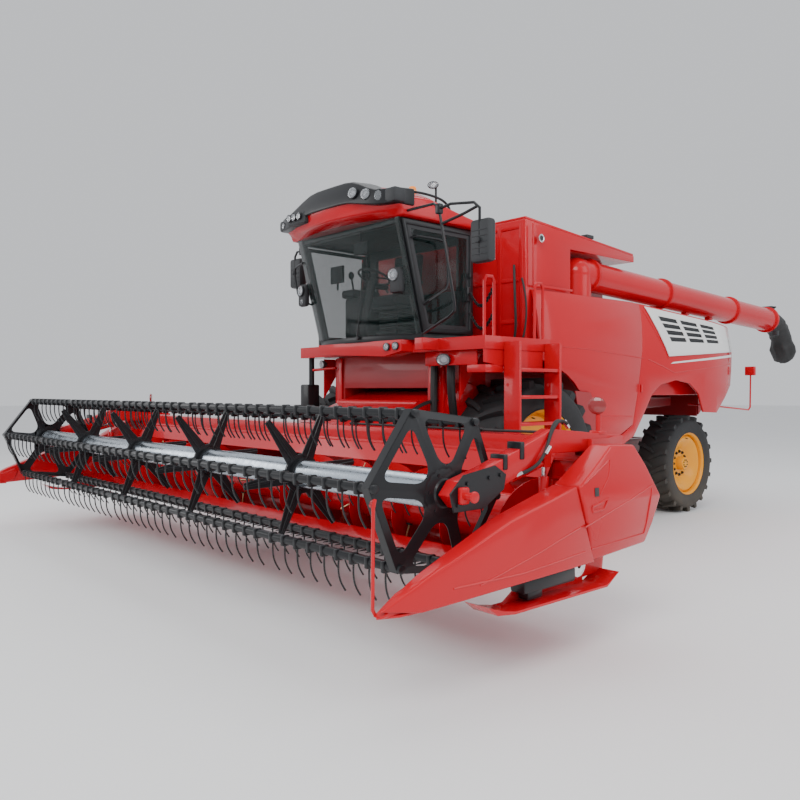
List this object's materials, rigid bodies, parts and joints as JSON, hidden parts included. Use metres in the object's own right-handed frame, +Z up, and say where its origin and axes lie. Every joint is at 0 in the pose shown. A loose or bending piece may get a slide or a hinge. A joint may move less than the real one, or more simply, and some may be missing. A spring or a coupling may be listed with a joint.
{
  "type": "combine harvester",
  "caption": "Self-propelled grain combine with a raised auger header, tined reel, glazed cab, grain tank and long swinging unloading tube.",
  "frame": {"origin": "centre of the machine's overall box, on the ground under the wheels", "axes": "+Z up, +Y to the rear along the machine, so the header points to -Y, and +X to the machine's left"},
  "size_m": [7.9212, 11.5177, 3.97],
  "materials": {
    "black": "satin black paint",
    "cloth": "dark woven seat cloth",
    "dark_red": "satin dark red enamel",
    "glass": "tinted glass",
    "red": "glossy red enamel",
    "rubber": "matte black rubber with deep lugs",
    "spout_rubber": "black moulded rubber",
    "steel": "bright steel",
    "yellow": "semi-gloss warm yellow enamel"
  },
  "bodies": {
    "root": {"cab_roof": "red", "cab_shell": "black", "chassis_frame": "dark_red", "engine": "black", "grain_tank": "red", "mirror_left": "black", "mirror_right": "black", "operator_seat": "cloth", "platform": "red", "rear_axle": "black", "rear_hood": "red", "threshing_body": "dark_red", "windscreen": "glass"},
    "front_wheel_left": {"front_tyre_left": "rubber", "front_rim_left": "yellow"},
    "front_wheel_right": {"front_tyre_right": "rubber", "front_rim_right": "yellow"},
    "rear_knuckle_left": {"knuckle_left": "black"},
    "rear_knuckle_right": {"knuckle_right": "black"},
    "rear_wheel_left": {"rear_tyre_left": "rubber", "rear_rim_left": "yellow"},
    "rear_wheel_right": {"rear_tyre_right": "rubber", "rear_rim_right": "yellow"},
    "header": {"feeder_house": "red", "header_back": "red", "header_floor": "red", "header_side_left": "red", "header_side_right": "red", "knife_bar": "black", "divider_left": "red", "divider_right": "red"},
    "lift_barrel_left": {"lift_barrel_left": "black"},
    "lift_rod_left": {"lift_rod_left": "steel"},
    "lift_barrel_right": {"lift_barrel_right": "black"},
    "lift_rod_right": {"lift_rod_right": "steel"},
    "header_auger": {"header_auger": "red"},
    "divider_cover_left": {"divider_cover_left": "red"},
    "divider_cover_right": {"divider_cover_right": "red"},
    "reel_arms": {"reel_arm_left": "red", "reel_arm_right": "red"},
    "reel_lift_barrel_left": {"reel_lift_barrel_left": "red"},
    "reel_lift_rod_left": {"reel_lift_rod_left": "steel"},
    "reel_lift_barrel_right": {"reel_lift_barrel_right": "red"},
    "reel_lift_rod_right": {"reel_lift_rod_right": "steel"},
    "reel": {"reel_rotor": "black"},
    "reel_bat_1": {"reel_bat_1": "black"},
    "reel_bat_2": {"reel_bat_2": "black"},
    "reel_bat_3": {"reel_bat_3": "black"},
    "reel_bat_4": {"reel_bat_4": "black"},
    "reel_bat_5": {"reel_bat_5": "black"},
    "reel_bat_6": {"reel_bat_6": "black"},
    "unloading_auger": {"unloading_tube": "red", "unloading_spout": "spout_rubber"},
    "tank_cover": {"tank_cover": "red"},
    "front_side_panel_left": {"front_side_panel_left": "red"},
    "rear_side_panel_left": {"rear_side_panel_left": "red"},
    "front_side_panel_right": {"front_side_panel_right": "red"},
    "rear_side_panel_right": {"rear_side_panel_right": "red"},
    "cab_door": {"cab_door": "black"},
    "ladder": {"ladder": "red"}
  },
  "joints": [
    {"name": "front_wheel_left_spin", "type": "hinge", "parent": "root", "child": "front_wheel_left", "pos_m": [1.35, -1.554, 0.93], "axis": [1, 0, 0], "continuous": true},
    {"name": "front_wheel_right_spin", "type": "hinge", "parent": "root", "child": "front_wheel_right", "pos_m": [-1.35, -1.554, 0.93], "axis": [1, 0, 0], "continuous": true},
    {"name": "steer_left", "type": "hinge", "parent": "root", "child": "rear_knuckle_left", "pos_m": [0.8, 2.13, 0.686], "axis": [0, 0, 1], "range_deg": [-28, 28]},
    {"name": "steer_right", "type": "hinge", "parent": "root", "child": "rear_knuckle_right", "pos_m": [-0.8, 2.13, 0.686], "axis": [0, 0, 1], "range_deg": [-28, 28]},
    {"name": "rear_wheel_left_spin", "type": "hinge", "parent": "rear_knuckle_left", "child": "rear_wheel_left", "pos_m": [1.156, 2.13, 0.686], "axis": [1, 0, 0], "continuous": true},
    {"name": "rear_wheel_right_spin", "type": "hinge", "parent": "rear_knuckle_right", "child": "rear_wheel_right", "pos_m": [-1.156, 2.13, 0.686], "axis": [1, 0, 0], "continuous": true},
    {"name": "feeder_lift", "type": "hinge", "parent": "root", "child": "header", "pos_m": [0, -2.1, 1.42], "axis": [-1, 0, 0], "range_deg": [-6, 10]},
    {"name": "lift_barrel_left_swing", "type": "hinge", "parent": "root", "child": "lift_barrel_left", "pos_m": [0.55, -1.8, 0.56], "axis": [-1, 0, 0], "range_deg": [-4.28, 7]},
    {"name": "lift_rod_left_slide", "type": "slide", "parent": "lift_barrel_left", "child": "lift_rod_left", "axis": [0, -0.9938, 0.1113], "range_m": [-0.0869, 0.1435]},
    {"name": "lift_barrel_right_swing", "type": "hinge", "parent": "root", "child": "lift_barrel_right", "pos_m": [-0.55, -1.8, 0.56], "axis": [-1, 0, 0], "range_deg": [-4.28, 7]},
    {"name": "lift_rod_right_slide", "type": "slide", "parent": "lift_barrel_right", "child": "lift_rod_right", "axis": [0, -0.9938, 0.1113], "range_m": [-0.0869, 0.1435]},
    {"name": "header_auger_spin", "type": "hinge", "parent": "header", "child": "header_auger", "pos_m": [0, -4.05, 0.83], "axis": [1, 0, 0], "continuous": true},
    {"name": "divider_cover_left_swing", "type": "hinge", "parent": "header", "child": "divider_cover_left", "pos_m": [3.7506, -3.22, 0.98], "axis": [0, 0, 1], "range_deg": [0, 75]},
    {"name": "divider_cover_right_swing", "type": "hinge", "parent": "header", "child": "divider_cover_right", "pos_m": [-3.7506, -3.22, 0.98], "axis": [0, 0, -1], "range_deg": [0, 75]},
    {"name": "reel_lift", "type": "hinge", "parent": "header", "child": "reel_arms", "pos_m": [3.6, -3.38, 1.35], "axis": [-1, 0, 0], "range_deg": [-1, 20]},
    {"name": "reel_barrel_left_swing", "type": "hinge", "parent": "header", "child": "reel_lift_barrel_left", "pos_m": [3.65, -4.17, 0.74], "axis": [-1, 0, 0], "range_deg": [-0.345, 0.207]},
    {"name": "reel_rod_left_slide", "type": "slide", "parent": "reel_lift_barrel_left", "child": "reel_lift_rod_left", "axis": [0, 0.0392, 0.9992], "range_m": [-0.01548, 0.27152]},
    {"name": "reel_barrel_right_swing", "type": "hinge", "parent": "header", "child": "reel_lift_barrel_right", "pos_m": [-3.65, -4.17, 0.74], "axis": [-1, 0, 0], "range_deg": [-0.345, 0.207]},
    {"name": "reel_rod_right_slide", "type": "slide", "parent": "reel_lift_barrel_right", "child": "reel_lift_rod_right", "axis": [0, 0.0392, 0.9992], "range_m": [-0.01548, 0.27152]},
    {"name": "reel_spin", "type": "hinge", "parent": "reel_arms", "child": "reel", "pos_m": [0, -5, 1.115], "axis": [1, 0, 0], "continuous": true},
    {"name": "bat_1_turn", "type": "hinge", "parent": "reel", "child": "reel_bat_1", "pos_m": [0, -4.48884, 1.05224], "axis": [1, 0, 0], "continuous": true},
    {"name": "bat_2_turn", "type": "hinge", "parent": "reel", "child": "reel_bat_2", "pos_m": [0, -4.69007, 1.5263], "axis": [1, 0, 0], "continuous": true},
    {"name": "bat_3_turn", "type": "hinge", "parent": "reel", "child": "reel_bat_3", "pos_m": [0, -5.20123, 1.58906], "axis": [1, 0, 0], "continuous": true},
    {"name": "bat_4_turn", "type": "hinge", "parent": "reel", "child": "reel_bat_4", "pos_m": [0, -5.51116, 1.17776], "axis": [1, 0, 0], "continuous": true},
    {"name": "bat_5_turn", "type": "hinge", "parent": "reel", "child": "reel_bat_5", "pos_m": [0, -5.30993, 0.7037], "axis": [1, 0, 0], "continuous": true},
    {"name": "bat_6_turn", "type": "hinge", "parent": "reel", "child": "reel_bat_6", "pos_m": [0, -4.79877, 0.64094], "axis": [1, 0, 0], "continuous": true},
    {"name": "unloading_swing", "type": "hinge", "parent": "root", "child": "unloading_auger", "pos_m": [1.27, -0.45, 2.8503], "axis": [0, 0, -1], "range_deg": [0, 95]},
    {"name": "tank_cover_lift", "type": "hinge", "parent": "root", "child": "tank_cover", "pos_m": [0, 0.6, 3.4403], "axis": [-1, 0, 0], "range_deg": [0, 95]},
    {"name": "front_panel_left_lift", "type": "hinge", "parent": "root", "child": "front_side_panel_left", "pos_m": [1.47, 0, 2.83], "axis": [0, -1, 0], "range_deg": [0, 70]},
    {"name": "rear_panel_left_lift", "type": "hinge", "parent": "root", "child": "rear_side_panel_left", "pos_m": [1.47, 0, 2.83], "axis": [0, -1, 0], "range_deg": [0, 70]},
    {"name": "front_panel_right_lift", "type": "hinge", "parent": "root", "child": "front_side_panel_right", "pos_m": [-1.47, 0, 2.83], "axis": [0, 1, 0], "range_deg": [0, 70]},
    {"name": "rear_panel_right_lift", "type": "hinge", "parent": "root", "child": "rear_side_panel_right", "pos_m": [-1.47, 0, 2.83], "axis": [0, 1, 0], "range_deg": [0, 70]},
    {"name": "cab_door_swing", "type": "hinge", "parent": "root", "child": "cab_door", "pos_m": [0.9006, -1.892, 2.332], "axis": [0, 0, 1], "range_deg": [0, 80]},
    {"name": "ladder_swing", "type": "hinge", "parent": "root", "child": "ladder", "pos_m": [1.7606, -2.34, 0.5], "axis": [0, 0, -1], "range_deg": [0, 90]}
  ],
  "couplings": [
    {"joint": "steer_right", "follows": "steer_left", "ratio": 1},
    {"joint": "lift_barrel_left_swing", "follows": "feeder_lift", "ratio": 0.68034},
    {"joint": "lift_rod_left_slide", "follows": "feeder_lift", "m_per_rad": 0.81073},
    {"joint": "lift_barrel_right_swing", "follows": "feeder_lift", "ratio": 0.68034},
    {"joint": "lift_rod_right_slide", "follows": "feeder_lift", "m_per_rad": 0.81073},
    {"joint": "reel_barrel_left_swing", "follows": "reel_lift", "ratio": -0.00726},
    {"joint": "reel_rod_left_slide", "follows": "reel_lift", "m_per_rad": 0.77211},
    {"joint": "reel_barrel_right_swing", "follows": "reel_lift", "ratio": -0.00726},
    {"joint": "reel_rod_right_slide", "follows": "reel_lift", "m_per_rad": 0.77211},
    {"joint": "bat_1_turn", "follows": "reel_spin", "ratio": -1},
    {"joint": "bat_2_turn", "follows": "reel_spin", "ratio": -1},
    {"joint": "bat_3_turn", "follows": "reel_spin", "ratio": -1},
    {"joint": "bat_4_turn", "follows": "reel_spin", "ratio": -1},
    {"joint": "bat_5_turn", "follows": "reel_spin", "ratio": -1},
    {"joint": "bat_6_turn", "follows": "reel_spin", "ratio": -1}
  ]
}
